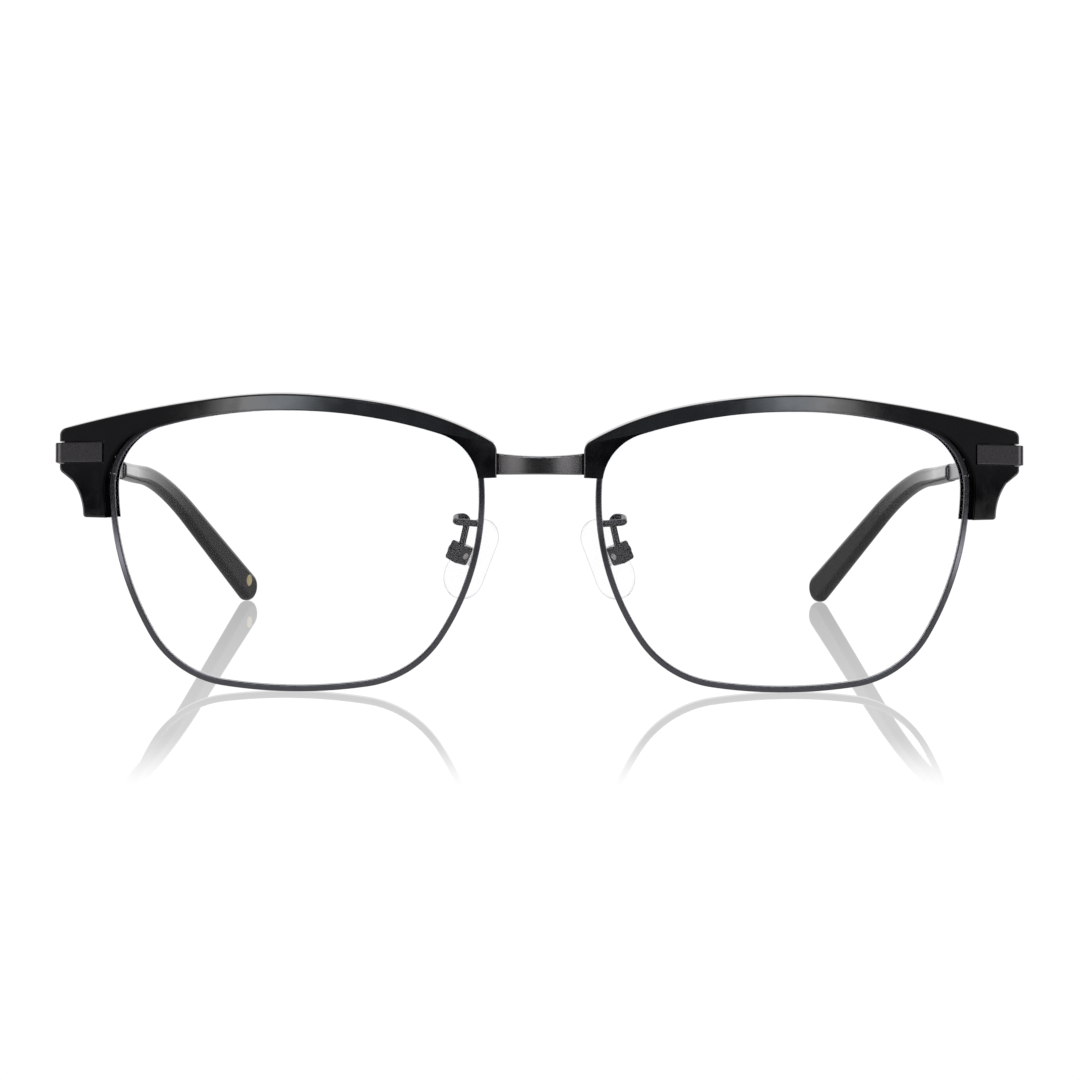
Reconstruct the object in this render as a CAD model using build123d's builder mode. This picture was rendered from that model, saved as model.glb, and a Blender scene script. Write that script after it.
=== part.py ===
from build123d import *
from math import acos, cos, degrees, radians, sin, sqrt, tan
import os

# Half-rim (browline) eyeglasses, one solid for each physical piece, in millimetres.
# +Z is up, +Y runs from the front towards the wearer's ears, and +X is the wearer's left.
# The frame stands on its two rims and two temple tips, and the origin is the centre of its footprint.
# The left pieces (+X) are modelled, and each right piece is the mirror image of its left one.

os.makedirs("parts", exist_ok=True)

# ------------------------------------------------------------------ driving dimensions
FRONT_Y = -69.2  # the apex of the lens curve lies on this plane
LENS_BASE_RADIUS = 132.5  # spherical front of each rim, a base-4 curve
SPHERE_X = 23.85  # centre of that curve: 5 degrees of wrap about the lens centre
SPHERE_Z = 21.2
RIM_WIDTH = 0.9
RIM_DEPTH = 2.0
LENS_THICKNESS = 1.6
LENS_SETBACK = 0.15  # lens front behind the rim front
TONGUE_HEIGHT = 0.3  # bevel round the edge of the lens
TONGUE_DEPTH = 0.8
FIT = 0.03  # clearance between the lens and its groove
BROW_PROUD = 1.0  # brow face in front of the rim face
BROW_DEPTH = 3.8
BROW_EDGE = 0.3
RIM_SLIT_Z = 31.6
RIM_SLIT = 0.16
BRIDGE_SPAN = 6.35  # half of the visible bridge
BRIDGE_FRONT = 0.75  # crown of the bridge behind the apex of the lens curve
BRIDGE_ARCH = 27.0
BRIDGE_LUG = 1.5  # front of the lugs at its ends, which the brows cover
BRIDGE_DEPTH = 1.7
PLATE_THICKNESS = 1.1
PLATE_HEIGHT = 2.9
PLATE_GAP = 0.2  # shadow line between the corner plate and the brow
SCREW_RADIUS = 0.5
HEAD_RADIUS = 0.85
HEAD_HEIGHT = 0.45
SLOT_WIDTH = 0.25

SLOPE = 6.15  # the temples slope down towards the back by this angle
HINGE_X = 68.6
HINGE_DEPTH = 16.4
HINGE_Z = 33.65
KNUCKLE_RADIUS = 1.25
KNUCKLE_GAP = 0.03
MIDDLE_KNUCKLE = 1.2
KNUCKLE_STACK = 3.0
HINGE_PIN_RADIUS = 0.65
RUNNING_FIT = 0.04

BAR_OFFSET = 2.15  # from the hinge axis out to the middle of the bar
BAR_THICKNESS = 1.0
BAR_HEIGHT = 3.2
BAR_END_HEIGHT = 2.6
BAR_SPLAY = 3.0  # the temples close in towards the back by this angle
SLEEVE_START = 75.0  # depth at which the tip begins
SLEEVE_THICKNESS = 2.1
EAR_BEND_RADIUS = 40.0
CORE_THICKNESS = 0.8
PLUG_THICKNESS = 0.94  # the end of the bar is a little smaller where the sleeve grips it
PLUG_HEIGHT = 2.5
PLUG_LENGTH = 1.4
INWARD_BEND_START = 88.0
INWARD_BEND_RADIUS = 76.0
INWARD_BEND_ANGLE = 22.0
EAR_BEND_DEPTH = 107.7
TIP_END_DEPTH = 135.8
TIP_END_RADIUS = 2.45

PAD_LENGTH = 12.4
PAD_WIDTH = 6.9
PAD_THICKNESS = 2.4
PAD_ARM_RADIUS = 0.5
BOX_LENGTH = 2.9
BOX_WIDTH = 2.6
BOX_HEIGHT = 2.1

# ------------------------------------------------------------------ placing planes
FRONT = Plane.XZ.offset(-FRONT_Y + 5)  # sketches of the front, extruded backwards through it
REACH = 40.0
SPHERE_CENTRE = (SPHERE_X, FRONT_Y + LENS_BASE_RADIUS, SPHERE_Z)
LENS_SPHERE = Location(SPHERE_CENTRE, (0, 0, 90))  # the sphere's seam is at its back
SIDE = Plane.YZ.offset(30)  # side view of the left temple, extruded outwards
PLAN = Plane.XY.offset(-10)  # plan of the left temple, extruded upwards

HINGE = Plane(
    origin=(HINGE_X, FRONT_Y + HINGE_DEPTH, HINGE_Z),
    x_dir=(1, 0, 0),
    z_dir=(0, sin(radians(SLOPE)), cos(radians(SLOPE))),
)

# nose pad: x along the pad, z out of the face that meets the nose
PAD = Plane(
    origin=(10.0, FRONT_Y + 9.6, 19.0),
    x_dir=(-0.405, -0.05, 0.913),
    z_dir=(-0.625, 0.743, -0.237),
)
PAD_STEM = PAD.shift_origin(PAD.from_local_coords((0.3, 0, 0)))


def depth_at(x, z, radius):
    """Y of the front half of the sphere of this radius about the lens curve's centre."""
    drop = sqrt(radius**2 - (x - SPHERE_X) ** 2 - (z - SPHERE_Z) ** 2)
    return FRONT_Y + LENS_BASE_RADIUS - drop


def radial_plane(x, z, radius):
    """A plane on that sphere, facing the back of the frame along the sphere's radius."""
    y = depth_at(x, z, radius)
    towards_centre = (SPHERE_X - x, SPHERE_CENTRE[1] - y, SPHERE_Z - z)
    return Plane(origin=(x, y, z), x_dir=(0, 0, 1), z_dir=towards_centre)


def temple_z(depth):
    """Height of the temple's centreline, before it bends behind the ear."""
    return HINGE_Z - (depth - HINGE_DEPTH) * tan(radians(SLOPE))


# ------------------------------------------------------------------ lens opening
# The opening is the common area of four circles (X, Z, radius), with its four corners rounded.
TOP_CIRCLE = (36.11, -30.46, 71.66)
OUTER_CIRCLE = (19.35, 29.91, 42.86)
LOWER_CIRCLE = (36.17, 74.65, 73.75)
INNER_CIRCLE = (45.42, 28.42, 36.47)
ROUNDED_CORNERS = [(61.7, 36.5, 9.0), (52.5, 2.7, 14.0), (19.4, 2.8, 15.0), (9.8, 36.2, 8.0)]


def grown_opening(amount):
    """The lens opening seen from the front, with its edge moved outwards."""
    with BuildSketch(FRONT) as face:
        with Locations(TOP_CIRCLE[:2]):
            Circle(TOP_CIRCLE[2] + amount)
        with Locations(OUTER_CIRCLE[:2]):
            Circle(OUTER_CIRCLE[2] + amount, mode=Mode.INTERSECT)
        with Locations(LOWER_CIRCLE[:2]):
            Circle(LOWER_CIRCLE[2] + amount, mode=Mode.INTERSECT)
        with Locations(INNER_CIRCLE[:2]):
            Circle(INNER_CIRCLE[2] + amount, mode=Mode.INTERSECT)
        for x, z, radius in ROUNDED_CORNERS:
            fillet(face.vertices().sort_by_distance((x, z, 0))[0], radius + amount)
    return face.sketch


opening = grown_opening(0)
rim_outline = grown_opening(RIM_WIDTH)
with BuildPart() as rim_envelope:
    extrude(rim_outline, amount=-REACH)
    with Locations(LENS_SPHERE):
        Sphere(LENS_BASE_RADIUS, mode=Mode.INTERSECT)
        Sphere(LENS_BASE_RADIUS - RIM_DEPTH, mode=Mode.SUBTRACT)

# ------------------------------------------------------------------ lens
tongue_radius = LENS_BASE_RADIUS - LENS_SETBACK - (LENS_THICKNESS - TONGUE_DEPTH) / 2
with BuildPart() as lens_body:
    extrude(grown_opening(-FIT), amount=-REACH)
    with Locations(LENS_SPHERE):
        Sphere(LENS_BASE_RADIUS - LENS_SETBACK, mode=Mode.INTERSECT)
        Sphere(LENS_BASE_RADIUS - LENS_SETBACK - LENS_THICKNESS, mode=Mode.SUBTRACT)

with BuildPart() as lens_tongue:
    extrude(grown_opening(TONGUE_HEIGHT), amount=-REACH)
    with Locations(LENS_SPHERE):
        Sphere(tongue_radius, mode=Mode.INTERSECT)
        Sphere(tongue_radius - TONGUE_DEPTH, mode=Mode.SUBTRACT)

with BuildPart() as lens_left:
    add(lens_body.part)
    add(lens_tongue.part)

# ------------------------------------------------------------------ rim with its closing block
with BuildPart() as groove:
    extrude(grown_opening(TONGUE_HEIGHT + FIT), amount=-REACH)
    with Locations(LENS_SPHERE):
        Sphere(tongue_radius + FIT, mode=Mode.INTERSECT)
        Sphere(tongue_radius - TONGUE_DEPTH - FIT, mode=Mode.SUBTRACT)

with BuildPart() as rim_ring:
    add(rim_envelope.part)
    extrude(opening, amount=-REACH, mode=Mode.SUBTRACT)
    fillet(rim_ring.edges(), 0.18)

BLOCK_X = 63.35
BLOCK_DEPTH = 9.6
BLOCK_SIZE = (2.1, 3.4, 6.4)
with BuildPart(Plane((BLOCK_X, FRONT_Y + BLOCK_DEPTH, RIM_SLIT_Z))) as closing_block:
    Box(*BLOCK_SIZE)
    fillet(closing_block.edges().filter_by(Axis.Z), 0.3)

RIM_SCREW = Plane((BLOCK_X + 0.05, FRONT_Y + BLOCK_DEPTH + 0.3, RIM_SLIT_Z + BLOCK_SIZE[2] / 2))
with BuildPart() as rim_screw_left:
    with BuildSketch(RIM_SCREW):
        Circle(HEAD_RADIUS)
    extrude(amount=HEAD_HEIGHT)
    fillet(rim_screw_left.edges().sort_by(Axis.Z)[-1], 0.12)
    with BuildSketch(RIM_SCREW):
        Circle(SCREW_RADIUS)
    extrude(amount=-BLOCK_SIZE[2] + 0.3)
    with BuildSketch(RIM_SCREW.offset(HEAD_HEIGHT)):
        Rectangle(2 * HEAD_RADIUS, SLOT_WIDTH)
    extrude(amount=-HEAD_HEIGHT / 2, mode=Mode.SUBTRACT)

with BuildPart() as rim_left:
    add(rim_ring.part)
    add(closing_block.part)
    add(groove.part, mode=Mode.SUBTRACT)
    add(rim_screw_left.part, mode=Mode.SUBTRACT)
    with Locations((BLOCK_X, FRONT_Y + BLOCK_DEPTH - 1.5, RIM_SLIT_Z)):
        Box(4, 8, RIM_SLIT, mode=Mode.SUBTRACT)

# ------------------------------------------------------------------ bridge
ARCH_AXIS = (0, FRONT_Y + BRIDGE_FRONT + BRIDGE_ARCH, 33)  # the bridge arches about this upright axis
with BuildPart() as panel_waste:
    with BuildSketch(FRONT):
        with BuildLine():
            Line((0, 32.45), (0, 34.2))
            ThreePointArc((0, 34.2), (2.9, 34.29), (5.75, 34.55))
            Line((5.75, 34.55), (5.75, 32.35))
            ThreePointArc((5.75, 32.35), (2.9, 32.42), (0, 32.45))
        make_face()
        mirror(about=Plane.YZ)
    extrude(amount=-10)
    with Locations(ARCH_AXIS):
        Cylinder(BRIDGE_ARCH - 0.15, 20, mode=Mode.SUBTRACT)

with BuildPart() as bridge_grooves:
    with BuildSketch(FRONT):
        with Locations((-BRIDGE_SPAN + 0.15, 33.4), (BRIDGE_SPAN - 0.15, 33.4)):
            Rectangle(0.4, 6)
    extrude(amount=-10)
    with Locations(ARCH_AXIS):
        Cylinder(BRIDGE_ARCH - 0.45, 20, mode=Mode.SUBTRACT)

with BuildPart() as bridge:
    with BuildSketch(FRONT):
        with BuildLine():
            Line((0, 32.0), (0, 34.63))
            ThreePointArc((0, 34.63), (3.4, 34.74), (6.8, 35.06))
            Line((6.8, 35.06), (6.8, 31.88))
            ThreePointArc((6.8, 31.88), (3.4, 31.97), (0, 32.0))
        make_face()
        mirror(about=Plane.YZ)
    extrude(amount=-10)
    with Locations(ARCH_AXIS):
        Cylinder(BRIDGE_ARCH, 20, mode=Mode.INTERSECT)
        Cylinder(BRIDGE_ARCH - BRIDGE_DEPTH, 20, mode=Mode.SUBTRACT)
    fillet(bridge.edges().filter_by(lambda edge: edge.length > 6), 0.2)
    add(panel_waste.part, mode=Mode.SUBTRACT)
    add(bridge_grooves.part, mode=Mode.SUBTRACT)
    with BuildSketch(Plane.XZ.offset(-FRONT_Y - BRIDGE_LUG)):
        with Locations((-8.45, 33.45), (8.45, 33.45)):
            Rectangle(4.1, 3.1)
    extrude(amount=-BRIDGE_DEPTH)
    extrude(rim_outline, amount=-REACH, mode=Mode.SUBTRACT)
    extrude(rim_outline.mirror(Plane.YZ), amount=REACH, both=True, mode=Mode.SUBTRACT)

# ------------------------------------------------------------------ endpiece: corner plate and rear strap
CORNER_PLATE = [(-4.5, -10.76), (2.65, -8.29), (2.65, -0.04), (1.6, -0.04), (1.6, -7.49), (-4.5, -9.6)]
with BuildPart() as corner_plate:
    with BuildSketch(HINGE):
        with BuildLine():
            Polyline(*CORNER_PLATE, close=True)
        make_face()
        fillet(vertices().sort_by_distance((2.65, -8.29, 0))[0], 1.3)
        fillet(vertices().sort_by_distance((1.6, -7.49, 0))[0], 0.4)
    extrude(amount=PLATE_HEIGHT / 2, both=True)
    fillet(corner_plate.edges().filter_by(Axis(HINGE.origin, HINGE.z_dir), reverse=True), 0.15)

BROW_BACK = LENS_BASE_RADIUS + BROW_PROUD - BROW_DEPTH
with BuildPart() as strap:
    with BuildSketch(HINGE):
        with Locations((1.7, 0)):
            Rectangle(HINGE_X + 1.7 - BLOCK_X - BLOCK_SIZE[0] / 2, 12, align=(Align.MAX, Align.MAX))
    extrude(amount=1.3, both=True)
    with Locations(LENS_SPHERE):
        Sphere(BROW_BACK, mode=Mode.INTERSECT)
        Sphere(BROW_BACK - PLATE_THICKNESS, mode=Mode.SUBTRACT)

BROW_SCREW = radial_plane(66.9, 34.2, BROW_BACK - PLATE_THICKNESS)
with BuildPart() as brow_screw_left:
    with BuildSketch(BROW_SCREW):
        Circle(HEAD_RADIUS)
    extrude(amount=HEAD_HEIGHT)
    with BuildSketch(BROW_SCREW):
        Circle(SCREW_RADIUS)
    extrude(amount=-PLATE_THICKNESS - 1.8)
    with BuildSketch(BROW_SCREW.offset(HEAD_HEIGHT)):
        Rectangle(2 * HEAD_RADIUS, SLOT_WIDTH)
    extrude(amount=-HEAD_HEIGHT / 2, mode=Mode.SUBTRACT)

with BuildPart() as endpiece_left:
    add(corner_plate.part)
    add(strap.part)
    add(brow_screw_left.part, mode=Mode.SUBTRACT)

# ------------------------------------------------------------------ brow
LIP_SHIFT = 1.5  # the rim shows inside the brow at the temple side
REAR_LIP_SHIFT = -0.4  # the brow laps behind the rim there
with BuildPart() as lip_window:
    extrude(Pos(LIP_SHIFT, 0, 0) * opening, amount=-REACH)
    with Locations(LENS_SPHERE):
        Sphere(LENS_BASE_RADIUS + 0.02, mode=Mode.SUBTRACT)

with BuildPart() as lip_step:
    extrude(Pos(LIP_SHIFT, 0, 0) * grown_opening(0.22), amount=-REACH)
    with Locations(LENS_SPHERE):
        Sphere(LENS_BASE_RADIUS + BROW_PROUD - 0.18, mode=Mode.SUBTRACT)

with BuildPart() as rim_seat:
    extrude(grown_opening(RIM_WIDTH + 0.08), amount=-REACH)
    with Locations(LENS_SPHERE):
        Sphere(LENS_BASE_RADIUS + 0.02, mode=Mode.INTERSECT)
        Sphere(LENS_BASE_RADIUS - RIM_DEPTH - 0.02, mode=Mode.SUBTRACT)

NOSE_FACET = (-3.3, 1.26, 16.0)  # the lower front of the brow falls away beside the bridge
with BuildPart() as facet_waste:
    with Locations((11, SPHERE_CENTRE[1] - LENS_BASE_RADIUS, 35)):
        Box(22, 12, 14)
    with Locations(Pos(*NOSE_FACET) * LENS_SPHERE):
        Sphere(LENS_BASE_RADIUS + BROW_PROUD, mode=Mode.SUBTRACT)

with BuildPart() as corner_recess:
    with BuildSketch(HINGE):
        with BuildLine():
            Polyline(*CORNER_PLATE, close=True)
        make_face()
        offset(amount=PLATE_GAP)
    extrude(amount=PLATE_HEIGHT / 2 + PLATE_GAP, both=True)

with BuildPart() as brow_left:
    with BuildSketch(FRONT):
        with BuildLine():
            Spline(
                (6.35, 36.3),
                (11.1, 38.85),
                (18.1, 41.3),
                (28.6, 43.1),
                (39.15, 43.6),
                (49.8, 42.5),
                (60.4, 40.5),
                (70.55, 37.9),
            )
            Line((70.55, 37.9), (70.55, 31.9))
            Line((70.55, 31.9), (68.6, 30.4))
            ThreePointArc((68.6, 30.4), (67.45, 28.2), (67.0, 25.15))
            Line((67.0, 25.15), (60.0, 25.15))
            Line((60.0, 25.15), (12.5, 31.3))
            Line((12.5, 31.3), (6.35, 31.5))
            Line((6.35, 31.5), (6.35, 36.3))
        make_face()
        fillet(vertices().sort_by_distance((6.35, 36.3, 0))[0], 1.7)
        fillet(vertices().sort_by_distance((70.55, 37.9, 0))[0], 1.1)
        fillet(vertices().sort_by_distance((70.55, 31.9, 0))[0], 0.9)
        fillet(vertices().sort_by_distance((67.0, 25.15, 0))[0], 0.5)
    extrude(amount=-REACH)
    with Locations(LENS_SPHERE):
        Sphere(LENS_BASE_RADIUS + BROW_PROUD, mode=Mode.INTERSECT)
        Sphere(BROW_BACK, mode=Mode.SUBTRACT)
    fillet(faces().filter_by(GeomType.SPHERE).sort_by(Axis.Y)[0].edges(), BROW_EDGE)
    add(facet_waste.part, mode=Mode.SUBTRACT)
    nasal_end = edges().filter_by(lambda edge: abs(edge.center().X - BRIDGE_SPAN) < 0.02)
    fillet(nasal_end.sort_by(Axis.Y)[0], 0.25)
    extrude(opening & Pos(REAR_LIP_SHIFT, 0, 0) * opening, amount=-REACH, mode=Mode.SUBTRACT)
    add(lip_window.part, mode=Mode.SUBTRACT)
    add(lip_step.part, mode=Mode.SUBTRACT)
    add(rim_seat.part, mode=Mode.SUBTRACT)
    add(corner_recess.part, mode=Mode.SUBTRACT)
    add(bridge.part, mode=Mode.SUBTRACT)
    add(brow_screw_left.part, mode=Mode.SUBTRACT)
    with Locations((BLOCK_X, FRONT_Y + BLOCK_DEPTH + 0.2, RIM_SLIT_Z + 0.3)):
        Box(BLOCK_SIZE[0] + 0.1, BLOCK_SIZE[1] + 0.6, BLOCK_SIZE[2] + 0.7, mode=Mode.SUBTRACT)

# ------------------------------------------------------------------ hinge
HINGE_TOP = HINGE.offset(KNUCKLE_STACK / 2)
with BuildPart() as hinge_screw_left:
    with BuildSketch(HINGE_TOP):
        Circle(HINGE_PIN_RADIUS + 0.35)
    extrude(amount=-0.45)
    with BuildSketch(HINGE_TOP):
        Circle(HINGE_PIN_RADIUS)
    extrude(amount=-KNUCKLE_STACK)
    with BuildSketch(HINGE_TOP):
        Rectangle(3, SLOT_WIDTH)
    extrude(amount=-0.25, mode=Mode.SUBTRACT)

with BuildPart() as hinge_front_left:
    with BuildSketch(HINGE):
        Circle(KNUCKLE_RADIUS)
        Rectangle(1.6, KNUCKLE_RADIUS, align=(Align.MIN, Align.MAX))
        with Locations((1.6, -KNUCKLE_RADIUS)):
            Rectangle(1.1, 2.2, align=(Align.MAX, Align.MAX))
    extrude(amount=KNUCKLE_STACK / 2, both=True)
    with BuildSketch(HINGE):
        Circle(KNUCKLE_RADIUS + 0.1)
    extrude(amount=MIDDLE_KNUCKLE / 2 + KNUCKLE_GAP, both=True, mode=Mode.SUBTRACT)
    with BuildSketch(HINGE):
        Rectangle(1.7, KNUCKLE_RADIUS + 0.1, align=(Align.MIN, Align.MAX))
        with Locations((0.9, 0)):
            Rectangle(2, 2 * KNUCKLE_RADIUS + 0.2)
    extrude(amount=MIDDLE_KNUCKLE / 2 + KNUCKLE_GAP, both=True, mode=Mode.SUBTRACT)
    add(hinge_screw_left.part, mode=Mode.SUBTRACT)
    add(endpiece_left.part, mode=Mode.SUBTRACT)

# ------------------------------------------------------------------ temple bar with its core
splay = radians(BAR_SPLAY)
BAR_START = (HINGE_X + BAR_OFFSET, FRONT_Y + HINGE_DEPTH)
straight = (INWARD_BEND_START - HINGE_DEPTH) / cos(splay)
BAR_DIRECTION = (-sin(splay), cos(splay))


def curtain(thickness):
    """A vertical wall of this thickness along the temple's plan, from the front to beyond the tip."""
    with BuildPart() as wall:
        with BuildSketch(PLAN):
            with BuildLine() as plan_line:
                PolarLine(BAR_START, 3, direction=(sin(splay), -cos(splay)))
                bar_run = PolarLine(BAR_START, straight, direction=BAR_DIRECTION)
                JernArc(bar_run @ 1, bar_run % 1, INWARD_BEND_RADIUS, INWARD_BEND_ANGLE)
                PolarLine(plan_line.edges()[-1] @ 1, 32, direction=plan_line.edges()[-1] % 1)
            trace(line_width=thickness)
        extrude(amount=70)
    return wall.part


def tangent_point(corner, centre, radius, side):
    """Where a line from the corner touches the circle, on its left (1) or right (-1) side."""
    to_corner = corner - centre
    turn = side * degrees(acos(radius / to_corner.length))
    return centre + to_corner.normalized().rotate(Axis.Z, turn) * radius


def blade(start, half_start, half_bend, end, half_end):
    """Side view of the temple: straight from the start, round the ear bend, to a rounded end."""
    bend = Vector(FRONT_Y + EAR_BEND_DEPTH, temple_z(EAR_BEND_DEPTH))
    first = (bend - start).normalized()
    second = (end - bend).normalized()
    first_up = Vector(-first.Y, first.X)
    second_up = Vector(-second.Y, second.X)
    half_turn = radians(first.get_angle(second) / 2)
    bend_up = (first_up + second_up).normalized() / cos(half_turn)
    upper_bend = bend + bend_up * half_bend
    lower_bend = bend - bend_up * half_bend
    with BuildPart() as slab:
        with BuildSketch(SIDE):
            with BuildLine():
                Polyline(
                    start - first_up * half_start,
                    start + first_up * half_start,
                    upper_bend,
                    tangent_point(upper_bend, end, half_end, -1),
                    tangent_point(lower_bend, end, half_end, 1),
                    lower_bend,
                    close=True,
                )
            make_face()
            fillet(vertices().sort_by_distance(upper_bend)[0], EAR_BEND_RADIUS + half_bend)
            fillet(vertices().sort_by_distance(lower_bend)[0], EAR_BEND_RADIUS - half_bend)
            with Locations(end):
                Circle(half_end)
        extrude(amount=60)
    return slab.part


SLEEVE_POINT = Vector(FRONT_Y + SLEEVE_START, temple_z(SLEEVE_START))
SLEEVE_ALONG = Vector(cos(radians(SLOPE)), -sin(radians(SLOPE)))
SLEEVE_UP = Vector(sin(radians(SLOPE)), cos(radians(SLOPE)))
TIP_END = Vector(FRONT_Y + TIP_END_DEPTH, TIP_END_RADIUS)
CORE_END = Vector(FRONT_Y + 124.6, 10.96)

with BuildPart() as bar:
    with BuildSketch(SIDE):
        with BuildLine():
            Polyline(
                (FRONT_Y + HINGE_DEPTH - 2, temple_z(HINGE_DEPTH - 2) + BAR_HEIGHT / 2),
                SLEEVE_POINT + SLEEVE_UP * BAR_END_HEIGHT / 2,
                SLEEVE_POINT - SLEEVE_UP * BAR_END_HEIGHT / 2,
                (FRONT_Y + HINGE_DEPTH - 2, temple_z(HINGE_DEPTH - 2) - BAR_HEIGHT / 2),
                close=True,
            )
        make_face()
    extrude(amount=60)
    add(curtain(BAR_THICKNESS), mode=Mode.INTERSECT)
    fillet(bar.edges().filter_by(lambda edge: edge.length > 30), 0.2)
    with BuildSketch(HINGE):
        with Locations((0, 0.04)):
            Rectangle(12, 12, align=(Align.CENTER, Align.MAX))
    extrude(amount=6, both=True, mode=Mode.SUBTRACT)

with BuildPart() as core:
    add(blade(SLEEVE_POINT, 0.9, 0.9, CORE_END, 0.9))
    add(curtain(CORE_THICKNESS), mode=Mode.INTERSECT)

with BuildPart() as plug:
    with BuildSketch(SIDE):
        with BuildLine():
            Polyline(
                SLEEVE_POINT + SLEEVE_UP * PLUG_HEIGHT / 2,
                SLEEVE_POINT + SLEEVE_UP * PLUG_HEIGHT / 2 + SLEEVE_ALONG * PLUG_LENGTH,
                SLEEVE_POINT - SLEEVE_UP * PLUG_HEIGHT / 2 + SLEEVE_ALONG * PLUG_LENGTH,
                SLEEVE_POINT - SLEEVE_UP * PLUG_HEIGHT / 2,
                close=True,
            )
        make_face()
    extrude(amount=60)
    add(curtain(PLUG_THICKNESS), mode=Mode.INTERSECT)

with BuildPart() as temple_left:
    add(bar.part)
    add(plug.part)
    add(core.part)

with BuildPart() as hinge_temple_left:
    with BuildSketch(HINGE):
        Circle(KNUCKLE_RADIUS)
        Rectangle(1.7, KNUCKLE_RADIUS, align=(Align.MIN, Align.MIN))
    extrude(amount=MIDDLE_KNUCKLE / 2, both=True)
    with BuildSketch(HINGE):
        with Locations((0.85, KNUCKLE_RADIUS + 0.15)):
            Rectangle(0.9, 3.6, align=(Align.MIN, Align.MIN))
    extrude(amount=KNUCKLE_STACK / 2 - 0.1, both=True)
    with BuildSketch(HINGE):
        with Locations((0.85, 0.4)):
            Rectangle(0.9, 3, align=(Align.MIN, Align.MIN))
    extrude(amount=MIDDLE_KNUCKLE / 2, both=True)
    with BuildSketch(HINGE):
        Circle(HINGE_PIN_RADIUS + RUNNING_FIT)
    extrude(amount=KNUCKLE_STACK, both=True, mode=Mode.SUBTRACT)
    add(temple_left.part, mode=Mode.SUBTRACT)

# ------------------------------------------------------------------ temple tip
with BuildPart() as temple_tip_left:
    add(blade(SLEEVE_POINT, 1.45, 1.6, TIP_END, TIP_END_RADIUS))
    add(curtain(SLEEVE_THICKNESS), mode=Mode.INTERSECT)
    fillet(edges(), 0.95)
    add(temple_left.part, mode=Mode.SUBTRACT)

# ------------------------------------------------------------------ nose pad, its box, screw and arm
PIN_HEIGHT = -3.0  # the pad rocks about a screw this far behind its middle
PAD_PIN = Plane(
    origin=PAD_STEM.from_local_coords((0, 0, PIN_HEIGHT)),
    x_dir=PAD_STEM.x_dir,
    z_dir=PAD_STEM.y_dir,
)
with BuildPart() as nose_pad_left:
    with BuildSketch(PAD.offset(-PAD_THICKNESS / 2)):
        with Locations((-2.9, 0)):
            Circle(PAD_WIDTH / 2)
        with Locations((PAD_LENGTH / 2 - 3.0, 0)):
            Circle(3.0)
        make_hull()
    extrude(amount=PAD_THICKNESS)
    fillet(edges(), 1.0)
    with BuildSketch(PAD_STEM.offset(-PAD_THICKNESS / 2)):
        Rectangle(2.6, 1.8)
    extrude(amount=0.9, mode=Mode.SUBTRACT)

with BuildPart() as pad_insert_left:
    with BuildSketch(PAD_STEM.offset(-PAD_THICKNESS / 2)):
        Rectangle(2.6, 1.8)
    extrude(amount=0.9)
    with BuildSketch(PAD_STEM.offset(-PAD_THICKNESS / 2)):
        Rectangle(1.5, 1.5)
    extrude(amount=PIN_HEIGHT - 0.7 + PAD_THICKNESS / 2)
    with BuildSketch(PAD_PIN):
        Circle(SCREW_RADIUS + RUNNING_FIT)
    extrude(amount=3, both=True, mode=Mode.SUBTRACT)

with BuildPart() as pad_screw_left:
    with BuildSketch(PAD_PIN.offset(BOX_WIDTH / 2)):
        Circle(HEAD_RADIUS)
    extrude(amount=HEAD_HEIGHT)
    with BuildSketch(PAD_PIN.offset(BOX_WIDTH / 2)):
        Circle(SCREW_RADIUS)
    extrude(amount=-BOX_WIDTH)
    with BuildSketch(PAD_PIN.offset(BOX_WIDTH / 2 + HEAD_HEIGHT)):
        Rectangle(2 * HEAD_RADIUS, SLOT_WIDTH)
    extrude(amount=-HEAD_HEIGHT / 2, mode=Mode.SUBTRACT)

BOX_BACK = PAD_STEM.offset(PIN_HEIGHT - 1.2)
with BuildPart() as pad_box_left:
    with BuildSketch(BOX_BACK):
        RectangleRounded(BOX_LENGTH, BOX_WIDTH, 0.4)
    extrude(amount=BOX_HEIGHT)
    with BuildSketch(BOX_BACK.offset(0.3)):
        Rectangle(BOX_LENGTH - 0.8, 1.7)
    extrude(amount=BOX_HEIGHT, mode=Mode.SUBTRACT)
    add(pad_screw_left.part, mode=Mode.SUBTRACT)

ARM_END = PAD_STEM.from_local_coords((BOX_LENGTH / 2 - 0.2, 0, PIN_HEIGHT - 0.3))
with BuildPart() as pad_arm_left:
    with BuildLine() as arm_path:
        FilletPolyline(
            (8.8, FRONT_Y + 2.55, 24.5),
            (8.95, FRONT_Y + 3.8, 24.6),
            (12.3, FRONT_Y + 4.4, 24.8),
            (12.3, FRONT_Y + 7.2, 25.3),
            (10.5, FRONT_Y + 7.5, 25.4),
            ARM_END,
            radius=0.7,
        )
    with BuildSketch(Plane(arm_path.line @ 0, z_dir=arm_path.line % 0)):
        Circle(PAD_ARM_RADIUS)
    sweep()
    add(rim_envelope.part, mode=Mode.SUBTRACT)
    add(pad_box_left.part, mode=Mode.SUBTRACT)
    with BuildSketch(BOX_BACK.offset(0.3)):
        Rectangle(BOX_LENGTH - 0.8, 1.7)
    extrude(amount=BOX_HEIGHT, mode=Mode.SUBTRACT)

# ------------------------------------------------------------------ right-hand pieces
with BuildPart() as lens_right:
    mirror(lens_left.part, about=Plane.YZ)

with BuildPart() as rim_right:
    mirror(rim_left.part, about=Plane.YZ)

with BuildPart() as rim_screw_right:
    mirror(rim_screw_left.part, about=Plane.YZ)

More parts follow.
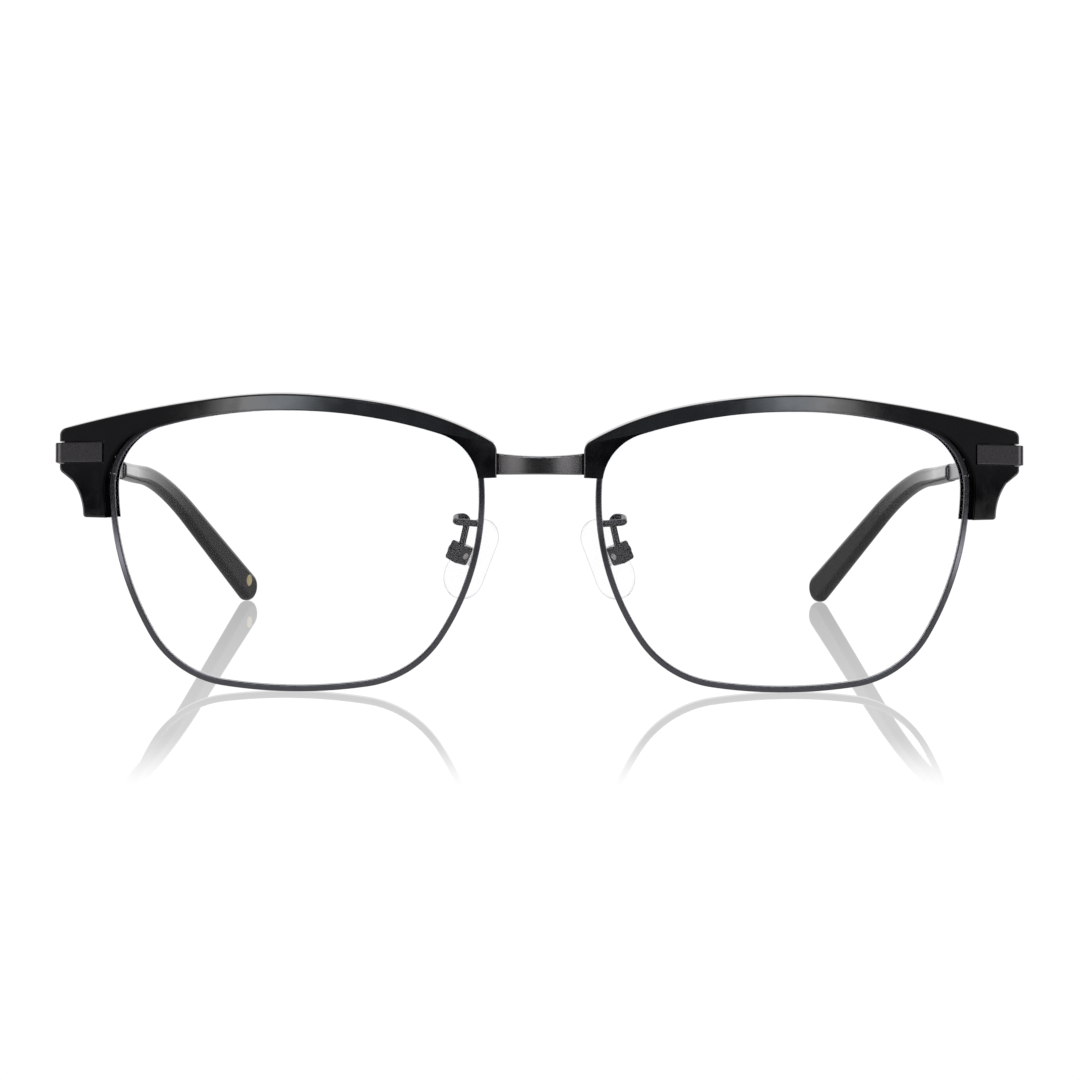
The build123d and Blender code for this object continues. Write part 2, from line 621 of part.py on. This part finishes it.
with BuildPart() as brow_right:
    mirror(brow_left.part, about=Plane.YZ)

with BuildPart() as brow_screw_right:
    mirror(brow_screw_left.part, about=Plane.YZ)

with BuildPart() as endpiece_right:
    mirror(endpiece_left.part, about=Plane.YZ)

with BuildPart() as hinge_front_right:
    mirror(hinge_front_left.part, about=Plane.YZ)

with BuildPart() as hinge_screw_right:
    mirror(hinge_screw_left.part, about=Plane.YZ)

with BuildPart() as hinge_temple_right:
    mirror(hinge_temple_left.part, about=Plane.YZ)

with BuildPart() as temple_right:
    mirror(temple_left.part, about=Plane.YZ)

with BuildPart() as temple_tip_right:
    mirror(temple_tip_left.part, about=Plane.YZ)

with BuildPart() as pad_arm_right:
    mirror(pad_arm_left.part, about=Plane.YZ)

with BuildPart() as pad_box_right:
    mirror(pad_box_left.part, about=Plane.YZ)

with BuildPart() as pad_screw_right:
    mirror(pad_screw_left.part, about=Plane.YZ)

with BuildPart() as pad_insert_right:
    mirror(pad_insert_left.part, about=Plane.YZ)

with BuildPart() as nose_pad_right:
    mirror(nose_pad_left.part, about=Plane.YZ)

# ------------------------------------------------------------------ labels and files
bridge.part.label = "bridge"
export_step(bridge.part, "parts/bridge.step")
lens_left.part.label = "lens_left"
export_step(lens_left.part, "parts/lens_left.step")
lens_right.part.label = "lens_right"
export_step(lens_right.part, "parts/lens_right.step")
rim_left.part.label = "rim_left"
export_step(rim_left.part, "parts/rim_left.step")
rim_right.part.label = "rim_right"
export_step(rim_right.part, "parts/rim_right.step")
rim_screw_left.part.label = "rim_screw_left"
export_step(rim_screw_left.part, "parts/rim_screw_left.step")
rim_screw_right.part.label = "rim_screw_right"
export_step(rim_screw_right.part, "parts/rim_screw_right.step")
brow_left.part.label = "brow_left"
export_step(brow_left.part, "parts/brow_left.step")
brow_right.part.label = "brow_right"
export_step(brow_right.part, "parts/brow_right.step")
brow_screw_left.part.label = "brow_screw_left"
export_step(brow_screw_left.part, "parts/brow_screw_left.step")
brow_screw_right.part.label = "brow_screw_right"
export_step(brow_screw_right.part, "parts/brow_screw_right.step")
endpiece_left.part.label = "endpiece_left"
export_step(endpiece_left.part, "parts/endpiece_left.step")
endpiece_right.part.label = "endpiece_right"
export_step(endpiece_right.part, "parts/endpiece_right.step")
hinge_front_left.part.label = "hinge_front_left"
export_step(hinge_front_left.part, "parts/hinge_front_left.step")
hinge_front_right.part.label = "hinge_front_right"
export_step(hinge_front_right.part, "parts/hinge_front_right.step")
hinge_screw_left.part.label = "hinge_screw_left"
export_step(hinge_screw_left.part, "parts/hinge_screw_left.step")
hinge_screw_right.part.label = "hinge_screw_right"
export_step(hinge_screw_right.part, "parts/hinge_screw_right.step")
hinge_temple_left.part.label = "hinge_temple_left"
export_step(hinge_temple_left.part, "parts/hinge_temple_left.step")
hinge_temple_right.part.label = "hinge_temple_right"
export_step(hinge_temple_right.part, "parts/hinge_temple_right.step")
temple_left.part.label = "temple_left"
export_step(temple_left.part, "parts/temple_left.step")
temple_right.part.label = "temple_right"
export_step(temple_right.part, "parts/temple_right.step")
temple_tip_left.part.label = "temple_tip_left"
export_step(temple_tip_left.part, "parts/temple_tip_left.step")
temple_tip_right.part.label = "temple_tip_right"
export_step(temple_tip_right.part, "parts/temple_tip_right.step")
pad_arm_left.part.label = "pad_arm_left"
export_step(pad_arm_left.part, "parts/pad_arm_left.step")
pad_arm_right.part.label = "pad_arm_right"
export_step(pad_arm_right.part, "parts/pad_arm_right.step")
pad_box_left.part.label = "pad_box_left"
export_step(pad_box_left.part, "parts/pad_box_left.step")
pad_box_right.part.label = "pad_box_right"
export_step(pad_box_right.part, "parts/pad_box_right.step")
pad_screw_left.part.label = "pad_screw_left"
export_step(pad_screw_left.part, "parts/pad_screw_left.step")
pad_screw_right.part.label = "pad_screw_right"
export_step(pad_screw_right.part, "parts/pad_screw_right.step")
pad_insert_left.part.label = "pad_insert_left"
export_step(pad_insert_left.part, "parts/pad_insert_left.step")
pad_insert_right.part.label = "pad_insert_right"
export_step(pad_insert_right.part, "parts/pad_insert_right.step")
nose_pad_left.part.label = "nose_pad_left"
export_step(nose_pad_left.part, "parts/nose_pad_left.step")
nose_pad_right.part.label = "nose_pad_right"
export_step(nose_pad_right.part, "parts/nose_pad_right.step")
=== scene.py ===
import math

import bpy
from mathutils import Matrix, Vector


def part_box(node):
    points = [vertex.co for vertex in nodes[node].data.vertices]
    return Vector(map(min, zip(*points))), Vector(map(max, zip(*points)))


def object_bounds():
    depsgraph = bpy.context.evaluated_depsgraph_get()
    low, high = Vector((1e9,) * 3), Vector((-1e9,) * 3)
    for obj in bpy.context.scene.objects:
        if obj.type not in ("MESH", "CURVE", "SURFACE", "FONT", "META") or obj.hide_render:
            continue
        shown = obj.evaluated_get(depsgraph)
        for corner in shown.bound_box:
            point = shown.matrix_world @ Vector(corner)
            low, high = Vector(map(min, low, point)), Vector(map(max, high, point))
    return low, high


# Half-rim eyeglasses on a glossy white floor. Lengths are in metres and angles in degrees.
# Every piece is a CAD node, so this script holds the materials, the floor, the studio and the camera.
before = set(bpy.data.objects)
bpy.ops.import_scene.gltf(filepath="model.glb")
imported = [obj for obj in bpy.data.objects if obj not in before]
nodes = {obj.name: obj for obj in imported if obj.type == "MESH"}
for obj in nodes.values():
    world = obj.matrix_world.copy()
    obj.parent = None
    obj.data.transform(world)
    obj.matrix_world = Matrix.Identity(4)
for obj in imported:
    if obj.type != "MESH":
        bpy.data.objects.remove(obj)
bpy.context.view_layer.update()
scene = bpy.context.scene

WHITE = (1, 1, 1, 1)

# ---------------------------------------------------------------- sizes and places
# Scales of the surface grain along X, Y and Z.
GRAIN_X = (700.0, 14000.0, 22000.0)  # streaks along X
GRAIN_Y = (18000.0, 600.0, 18000.0)  # streaks along Y
GRAIN_FINE = (1800.0, 1800.0, 1800.0)  # no direction
SCRATCHES = (400.0, 3000.0, 5200.0)

# The oval in which a lens is quite clear, seen from the front; beyond it the painted coat reflection
# shows.
LENS_HALF_WIDTH = 0.0265
LENS_HALF_HEIGHT = 0.0203

# The plain gold dot near the end of the right temple tip.
DOT_Y = 0.0653
DOT_Z = 0.0037
DOT_HALF_LENGTH = 0.0010
DOT_HALF_HEIGHT = 0.0011

FLOOR_HALF = 3.0
FLOOR_DROP = 0.00002  # keeps the floor just under what stands on it
FRONT_DEPTH = 0.069  # from the middle of the eyeglasses to their front

CAMERA_PLACE = (-0.00537, -0.6892, 0.0758)
CAMERA_PITCH = -4.91
CAMERA_YAW = -0.494
CAMERA_ROLL = 0.2
FOCAL_LENGTH_MM = 142.69
SENSOR_WIDTH_MM = 36.0
CLIP_START = 0.05
CLIP_END = 20.0


# ---------------------------------------------------------------- node helpers
class Tree:
    """A short way to build a shader node tree."""

    def __init__(self, tree):
        self.tree = tree
        tree.nodes.clear()

    def add(self, kind, inputs=None, **settings):
        """A new node, each of whose inputs is set to a value or linked to a socket."""
        node = self.tree.nodes.new(kind)
        for name, value in settings.items():
            setattr(node, name, value)
        for name, value in (inputs or {}).items():
            if isinstance(value, bpy.types.NodeSocket):
                self.tree.links.new(value, node.inputs[name])
            else:
                node.inputs[name].default_value = value
        return node

    def math(self, operation, a, b=0.0, c=0.0):
        node = self.add("ShaderNodeMath", {0: a, 1: b, 2: c}, operation=operation)
        return node.outputs[0]

    def ramp(self, value, low, high, to_low=0.0, to_high=1.0, smooth=True):
        """Goes from to_low to to_high while the value goes from low to high."""
        limits = {"From Min": low, "From Max": high, "To Min": to_low, "To Max": to_high}
        node = self.add(
            "ShaderNodeMapRange",
            {"Value": value, **limits},
            interpolation_type="SMOOTHSTEP" if smooth else "LINEAR",
        )
        return node.outputs["Result"]

    def window(self, value, start, full, still, end):
        """1 between full and still, falling softly to 0 at start and end."""
        rise = self.ramp(value, start, full)
        fall = self.ramp(value, still, end, 1.0, 0.0)
        return self.math("MULTIPLY", rise, fall)

    def mix(self, factor, first, second):
        """The first colour turning into the second; 6 and 7 are the node's colour inputs."""
        node = self.add("ShaderNodeMix", {"Factor": factor, 6: first, 7: second}, data_type="RGBA")
        return node.outputs[2]

    def noise(self, vector, scale, detail=3.0, roughness=0.5):
        node = self.add(
            "ShaderNodeTexNoise",
            {"Vector": vector, "Scale": scale, "Detail": detail, "Roughness": roughness},
        )
        return node.outputs["Fac"]

    def stretched(self, vector, scale):
        node = self.add("ShaderNodeMapping", {"Vector": vector, "Scale": scale})
        return node.outputs["Vector"]

    def length(self, vector):
        return self.add("ShaderNodeVectorMath", {0: vector}, operation="LENGTH").outputs["Value"]

    def reach(self, place, middle, scale):
        """How far a place is from the middle, with each axis scaled first."""
        moved = self.add("ShaderNodeVectorMath", {0: place, 1: middle}, operation="SUBTRACT")
        return self.length(self.stretched(moved.outputs["Vector"], scale))

    def bump(self, height, strength, distance):
        node = self.add(
            "ShaderNodeBump", {"Height": height, "Strength": strength, "Distance": distance}
        )
        return node.outputs["Normal"]

    def emission(self, strength):
        return self.add("ShaderNodeEmission", {"Color": WHITE, "Strength": strength})

    def mix_shaders(self, factor, first, second):
        """The first shader where the factor is 0, and the second where it is 1."""
        return self.add(
            "ShaderNodeMixShader", {0: factor, 1: first.outputs[0], 2: second.outputs[0]}
        )

    def end_in(self, kind, shader):
        """The tree's output node, fed by the shader."""
        out = self.add(kind)
        self.tree.links.new(shader.outputs[0], out.inputs["Surface"])


def material(name):
    """A new material, its empty tree and the position in metres."""
    made = bpy.data.materials.new(name)
    made.use_nodes = True
    tree = Tree(made.node_tree)
    place = tree.add("ShaderNodeTexCoord").outputs["Object"]
    return made, tree, place


def principled(tree, inputs):
    """Ends a material's tree in one Principled shader."""
    tree.end_in("ShaderNodeOutputMaterial", tree.add("ShaderNodeBsdfPrincipled", inputs))


# ---------------------------------------------------------------- materials
def with_gold_dot(tree, place, haze, base):
    """The base colour, with a plain gold dot on the side that faces +X."""
    scale = (0.0, 1 / DOT_HALF_LENGTH, 1 / DOT_HALF_HEIGHT)
    away = tree.reach(place, (0, DOT_Y, DOT_Z), scale)
    facing = tree.add("ShaderNodeTexCoord").outputs["Normal"]
    side_x = tree.add("ShaderNodeSeparateXYZ", {0: facing}).outputs["X"]
    inside = tree.ramp(away, 0.8, 1.0, 1.0, 0.0)
    inked = tree.math("MULTIPLY", inside, tree.ramp(side_x, 0.0, 0.3))
    dull_gold = (0.36, 0.29, 0.15, 1)
    bright_gold = (0.50, 0.41, 0.23, 1)
    gold = tree.mix(tree.ramp(haze, 0.3, 0.7), dull_gold, bright_gold)
    return tree.mix(inked, base, gold)


def acetate(name, color, cloudy, roughness, dot=False):
    """Polished black cellulose acetate: faint cloudiness, polishing haze and fine scratches."""
    made, tree, place = material(name)
    cloud = tree.noise(place, 60.0, 4.0)
    haze = tree.noise(place, 420.0, 2.0)
    scratch = tree.noise(tree.stretched(place, SCRATCHES), 1.0, 2.0)
    base = tree.mix(tree.ramp(cloud, 0.35, 0.7), (*color, 1), (*cloudy, 1))
    inputs = {
        "Base Color": with_gold_dot(tree, place, haze, base) if dot else base,
        "Roughness": tree.ramp(haze, 0.3, 0.75, roughness * 0.8, roughness * 1.35),
        "Normal": tree.bump(scratch, 0.04, 0.000008),
        "IOR": 1.5,
    }
    principled(tree, inputs)
    return made


def brushed_metal(name, color, roughness, grain, contrast, bump):
    """Plated and brushed metal: fine streaks along the grain, with faint warm tarnish."""
    made, tree, place = material(name)
    streak = tree.noise(tree.stretched(place, grain), 1.0, 3.0, 0.6)
    cloud = tree.noise(place, 140.0, 3.0)
    dark = tuple(channel * (1 - contrast) for channel in color)
    light = tuple(channel * (1 + contrast) for channel in color)
    warm = (color[0] * 1.08, color[1], color[2] * 0.95)
    streaked = tree.mix(tree.ramp(streak, 0.3, 0.7), (*dark, 1), (*light, 1))
    inputs = {
        "Base Color": tree.mix(tree.ramp(cloud, 0.45, 0.8, 0.0, 0.4), streaked, (*warm, 1)),
        "Metallic": 1.0,
        "Roughness": tree.ramp(streak, 0.25, 0.8, roughness * 0.85, roughness * 1.15),
        "Normal": tree.bump(streak, bump, 0.000015),
    }
    principled(tree, inputs)
    return made


def clear_lens(name, middle):
    """Clear coated plastic, with a painted reflection of the coat's violet and blue towards the edge.
    """
    made, tree, place = material(name)
    reach = tree.reach(place, middle, (1 / LENS_HALF_WIDTH, 0.0, 1 / LENS_HALF_HEIGHT))
    cloud = tree.noise(place, 90.0, 2.0)
    violet = (0.95, 0.93, 1.0, 1)
    blue = (0.93, 0.965, 1.0, 1)
    clear = (0.998, 0.999, 1.0, 1)
    # painted reflection: the coat's violet and blue, shown towards the lens's edge
    painted_coat_reflection = tree.mix(tree.ramp(cloud, 0.35, 0.65), violet, blue)
    inputs = {
        "Base Color": tree.mix(tree.ramp(reach, 1.02, 1.22), clear, painted_coat_reflection),
        "Roughness": 0.0,
        "IOR": 1.12,
        "Transmission Weight": 1.0,
    }
    principled(tree, inputs)
    return made


def clear_pad(name):
    """Soft clear plastic: faintly milky, with painted shade that greys it where seen edge-on, and a
    fine moulded skin.
    """
    made, tree, place = material(name)
    cloud = tree.noise(place, 250.0, 3.0)
    skin = tree.noise(place, 3500.0, 2.0)
    cool_milk = (0.97, 0.975, 0.98, 1)
    white_milk = (0.995, 0.995, 0.995, 1)
    # painted shade: the grey that the pad turns where it is seen edge-on
    painted_edge_shade = (0.52, 0.53, 0.56, 1)
    milky = tree.mix(tree.ramp(cloud, 0.3, 0.7), cool_milk, white_milk)
    edge_on = tree.add("ShaderNodeLayerWeight", {"Blend": 0.5}).outputs["Facing"]
    inputs = {
        "Base Color": tree.mix(tree.ramp(edge_on, 0.35, 0.85), milky, painted_edge_shade),
        "Roughness": tree.ramp(cloud, 0.3, 0.8, 0.03, 0.08),
        "IOR": 1.07,
        "Transmission Weight": 0.97,
        "Normal": tree.bump(skin, 0.02, 0.00001),
    }
    principled(tree, inputs)
    return made


# The color, cloudy color and roughness of both temple tips.
TIP_BLACK = ((0.005, 0.005, 0.0065), (0.008, 0.008, 0.010), 0.12)

brow_black = acetate("brow_acetate", (0.0014, 0.0015, 0.0022), (0.0025, 0.0026, 0.0036), 0.1)
tip_black = acetate("tip_acetate", *TIP_BLACK)
tip_marked = acetate("tip_acetate_dot", *TIP_BLACK, dot=True)
rim_metal = brushed_metal("rim_gunmetal", (0.084, 0.085, 0.096), 0.17, GRAIN_FINE, 0.05, 0.004)
arm_metal = brushed_metal("arm_gunmetal", (0.062, 0.061, 0.067), 0.2, GRAIN_FINE, 0.05, 0.004)
bridge_metal = brushed_metal("bridge_gunmetal", (0.16, 0.155, 0.16), 0.19, GRAIN_X, 0.05, 0.02)
plate_metal = brushed_metal("plate_gunmetal", (0.049, 0.047, 0.05), 0.28, GRAIN_X, 0.08, 0.03)
bar_metal = brushed_metal("bar_gunmetal", (0.17, 0.17, 0.178), 0.3, GRAIN_Y, 0.07, 0.02)
screw_metal = brushed_metal("screw_steel", (0.3, 0.29, 0.29), 0.25, GRAIN_FINE, 0.14, 0.1)
pad_plastic = clear_pad("pad_plastic")

# The material of each piece that is there once on each side.
PAIRS = {
    "brow": brow_black,
    "rim": rim_metal,
    "hinge_front": rim_metal,
    "hinge_temple": rim_metal,
    "pad_arm": arm_metal,
    "pad_box": arm_metal,
    "nose_pad": pad_plastic,
    "pad_insert": pad_plastic,
    "endpiece": plate_metal,
    "temple": bar_metal,
    "rim_screw": screw_metal,
    "brow_screw": screw_metal,
    "hinge_screw": screw_metal,
    "pad_screw": screw_metal,
}


def dress(node_name, made):
    """Puts one material on a CAD node."""
    for slot in nodes[node_name].material_slots:
        slot.material = made


dress("bridge", bridge_metal)
dress("temple_tip_left", tip_black)
dress("temple_tip_right", tip_marked)
for side in ("left", "right"):
    low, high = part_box(f"lens_{side}")
    middle = tuple((low[i] + high[i]) / 2 for i in range(3))
    dress(f"lens_{side}", clear_lens(f"lens_{side}_plastic", middle))
    for pair, made in PAIRS.items():
        dress(f"{pair}_{side}", made)

# ---------------------------------------------------------------- floor
SHEET_GLOW = 1.02
# Ramps along Y: where each starts and ends, and its value there.
MIRROR_IN_FRONT = (-0.172, -0.110, 0.0, 0.39)
MIRROR_FARTHER = (-0.09, 0.05, 0.0, 0.15)
GLOW_NEAR = (-0.33, -0.16, 0.02, 0.8)
GLOW_SHADE = (-0.03, 0.03, 0.0, -0.36)
GLOW_FAR = (0.14, 0.42, 0.0, 0.95)
# Two pairs of lit strips: the bearings of their soft edges, and a ramp over the distance.
FRONT_STRIPS = (7.5, 14.0, 20.0, 26.0)
FRONT_STRIPS_REACH = (0.42, 0.5, 0.0, 2.8)
SIDE_STRIPS = (44.0, 50.0, 80.0, 88.0)
SIDE_STRIPS_REACH = (0.18, 0.25, 0.0, 4.0)


def floor_in_view(tree, along):
    """For the camera: a white sheet with a faint mirror image that fades out towards the front."""
    in_front = tree.ramp(along, *MIRROR_IN_FRONT)
    farther = tree.ramp(along, *MIRROR_FARTHER, smooth=False)
    gloss = tree.add("ShaderNodeBsdfGlossy", {"Color": WHITE, "Roughness": 0.0})
    mirror = tree.math("ADD", in_front, farther)
    return tree.mix_shaders(mirror, tree.emission(SHEET_GLOW), gloss)


def floor_in_gloss(tree, place, across, along):
    """For the object's own gloss: a sheet that ends in front of it, with lit strips farther off."""
    ahead = tree.math("MULTIPLY", tree.math("ADD", along, FRONT_DEPTH), -1.0)
    bearing = tree.math("DEGREES", tree.math("ARCTAN2", tree.math("ABSOLUTE", across), ahead))
    near = tree.math("ADD", tree.ramp(along, *GLOW_NEAR), tree.ramp(along, *GLOW_SHADE))
    far = tree.ramp(along, *GLOW_FAR)
    front_strips = tree.math(
        "MULTIPLY", tree.window(bearing, *FRONT_STRIPS), tree.ramp(ahead, *FRONT_STRIPS_REACH)
    )
    side_strips = tree.math(
        "MULTIPLY",
        tree.window(bearing, *SIDE_STRIPS),
        tree.ramp(tree.length(place), *SIDE_STRIPS_REACH),
    )
    sheet = tree.math("ADD", near, far)
    strips = tree.math("ADD", front_strips, side_strips)
    return tree.emission(tree.math("ADD", sheet, strips))


def floor_white():
    made, tree, place = material("floor_white")
    spot = tree.add("ShaderNodeSeparateXYZ", {0: place})
    across = spot.outputs["X"]
    along = spot.outputs["Y"]
    path = tree.add("ShaderNodeLightPath")
    seen = tree.math(
        "MAXIMUM", path.outputs["Is Camera Ray"], path.outputs["Is Transmission Ray"]
    )
    in_gloss = floor_in_gloss(tree, place, across, along)
    in_view = floor_in_view(tree, along)
    tree.end_in("ShaderNodeOutputMaterial", tree.mix_shaders(seen, in_gloss, in_view))
    return made


def make_floor():
    low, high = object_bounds()
    signs = ((-1, -1), (1, -1), (1, 1), (-1, 1))
    corners = [(x * FLOOR_HALF, y * FLOOR_HALF, 0) for x, y in signs]
    mesh = bpy.data.meshes.new("floor")
    mesh.from_pydata(corners, [], [(0, 1, 2, 3)])
    mesh.materials.append(floor_white())
    floor = bpy.data.objects.new("floor", mesh)
    floor.location.z = low[2] - FLOOR_DROP
    scene.collection.objects.link(floor)


make_floor()

# ---------------------------------------------------------------- studio
BACKDROP_GLOW = 1.05
COOL_LIGHT = (0.84, 0.92, 1.0, 1)
WARM_LIGHT = (1.0, 0.98, 0.985, 1)
ALL_ROUND = (-2.0, -1.0, 180.0, 181.0)
# The soft lights are the same on the left and the right, and azimuth 0 is the camera's side. A row
# holds the azimuths and the elevations of a light's soft edges, its strength, and how these edges
# lean with the elevation and tilt with the azimuth.
SOFT_LIGHTS = (
    ((19.0, 31.0, 35.5, 41.0), (16.5, 18.4, 36.0, 48.0), 5.0, 1.0, 0.25),
    ((-2.0, -1.0, 7.0, 10.0), (8.0, 12.0, 30.0, 40.0), 0.2, 0.0, 0.0),
    (ALL_ROUND, (45.0, 62.0, 90.0, 91.0), 0.4, 0.0, 0.0),
    ((52.0, 60.0, 75.0, 85.0), (-20.0, -12.0, 20.0, 32.0), 4.0, 0.0, 0.0),
)


def room_light(sky, azimuth, elevation):
    """The room's brightness in the object's gloss: dim in front, white behind, and soft lights."""
    room = sky.ramp(azimuth, 85.0, 125.0, 0.22, 1.06)
    dimmed = sky.math("MULTIPLY", room, sky.ramp(elevation, 1.0, 6.0, 0.06, 1.0))
    behind = sky.math("MULTIPLY", sky.ramp(azimuth, 100.0, 130.0), 1.06)
    light = sky.math("MAXIMUM", dimmed, behind)
    for azimuths, elevations, strength, lean, tilt in SOFT_LIGHTS:
        across = sky.math("MULTIPLY_ADD", elevation, lean, azimuth)
        upward = sky.math("MULTIPLY_ADD", azimuth, tilt, elevation)
        spread = sky.math(
            "MULTIPLY", sky.window(across, *azimuths), sky.window(upward, *elevations)
        )
        light = sky.math("ADD", light, sky.math("MULTIPLY", spread, strength))
    return light


def make_studio():
    """A white backdrop for the camera, and a darker room with soft lights for the gloss."""
    world = bpy.data.worlds.new("studio")
    scene.world = world
    world.use_nodes = True
    sky = Tree(world.node_tree)
    direction = sky.add("ShaderNodeTexCoord").outputs["Generated"]
    toward = sky.add("ShaderNodeSeparateXYZ", {0: direction})
    sideways = sky.math("ABSOLUTE", toward.outputs["X"])
    forward = sky.math("MULTIPLY", toward.outputs["Y"], -1.0)
    azimuth = sky.math("DEGREES", sky.math("ARCTAN2", sideways, forward))
    elevation = sky.math("DEGREES", sky.math("ARCSINE", toward.outputs["Z"]))

    light = room_light(sky, azimuth, elevation)
    cast = sky.mix(sky.ramp(azimuth, 13.0, 23.0), COOL_LIGHT, WARM_LIGHT)
    studio = sky.add("ShaderNodeBackground", {"Color": cast, "Strength": light})
    white = sky.add("ShaderNodeBackground", {"Color": WHITE, "Strength": BACKDROP_GLOW})

    path = sky.add("ShaderNodeLightPath")
    seen = sky.math("MAXIMUM", path.outputs["Is Camera Ray"], path.outputs["Is Transmission Ray"])
    mirrored = path.outputs["Is Singular Ray"]  # the floor's sharp mirror image
    shows_white = sky.math("MAXIMUM", seen, mirrored)
    sky.end_in("ShaderNodeOutputWorld", sky.mix_shaders(shows_white, studio, white))


make_studio()


# ---------------------------------------------------------------- camera
def make_camera():
    data = bpy.data.cameras.new("camera")
    data.sensor_width = SENSOR_WIDTH_MM
    data.lens = FOCAL_LENGTH_MM
    data.clip_start = CLIP_START
    data.clip_end = CLIP_END
    yaw = Matrix.Rotation(math.radians(CAMERA_YAW), 3, "Z")
    pitch = Matrix.Rotation(math.radians(90 + CAMERA_PITCH), 3, "X")
    roll = Matrix.Rotation(math.radians(CAMERA_ROLL), 3, "Z")
    camera = bpy.data.objects.new("camera", data)
    camera.location = CAMERA_PLACE
    camera.rotation_euler = (yaw @ pitch @ roll).to_euler()
    scene.collection.objects.link(camera)
    scene.camera = camera


make_camera()
scene.view_settings.view_transform = "Standard"
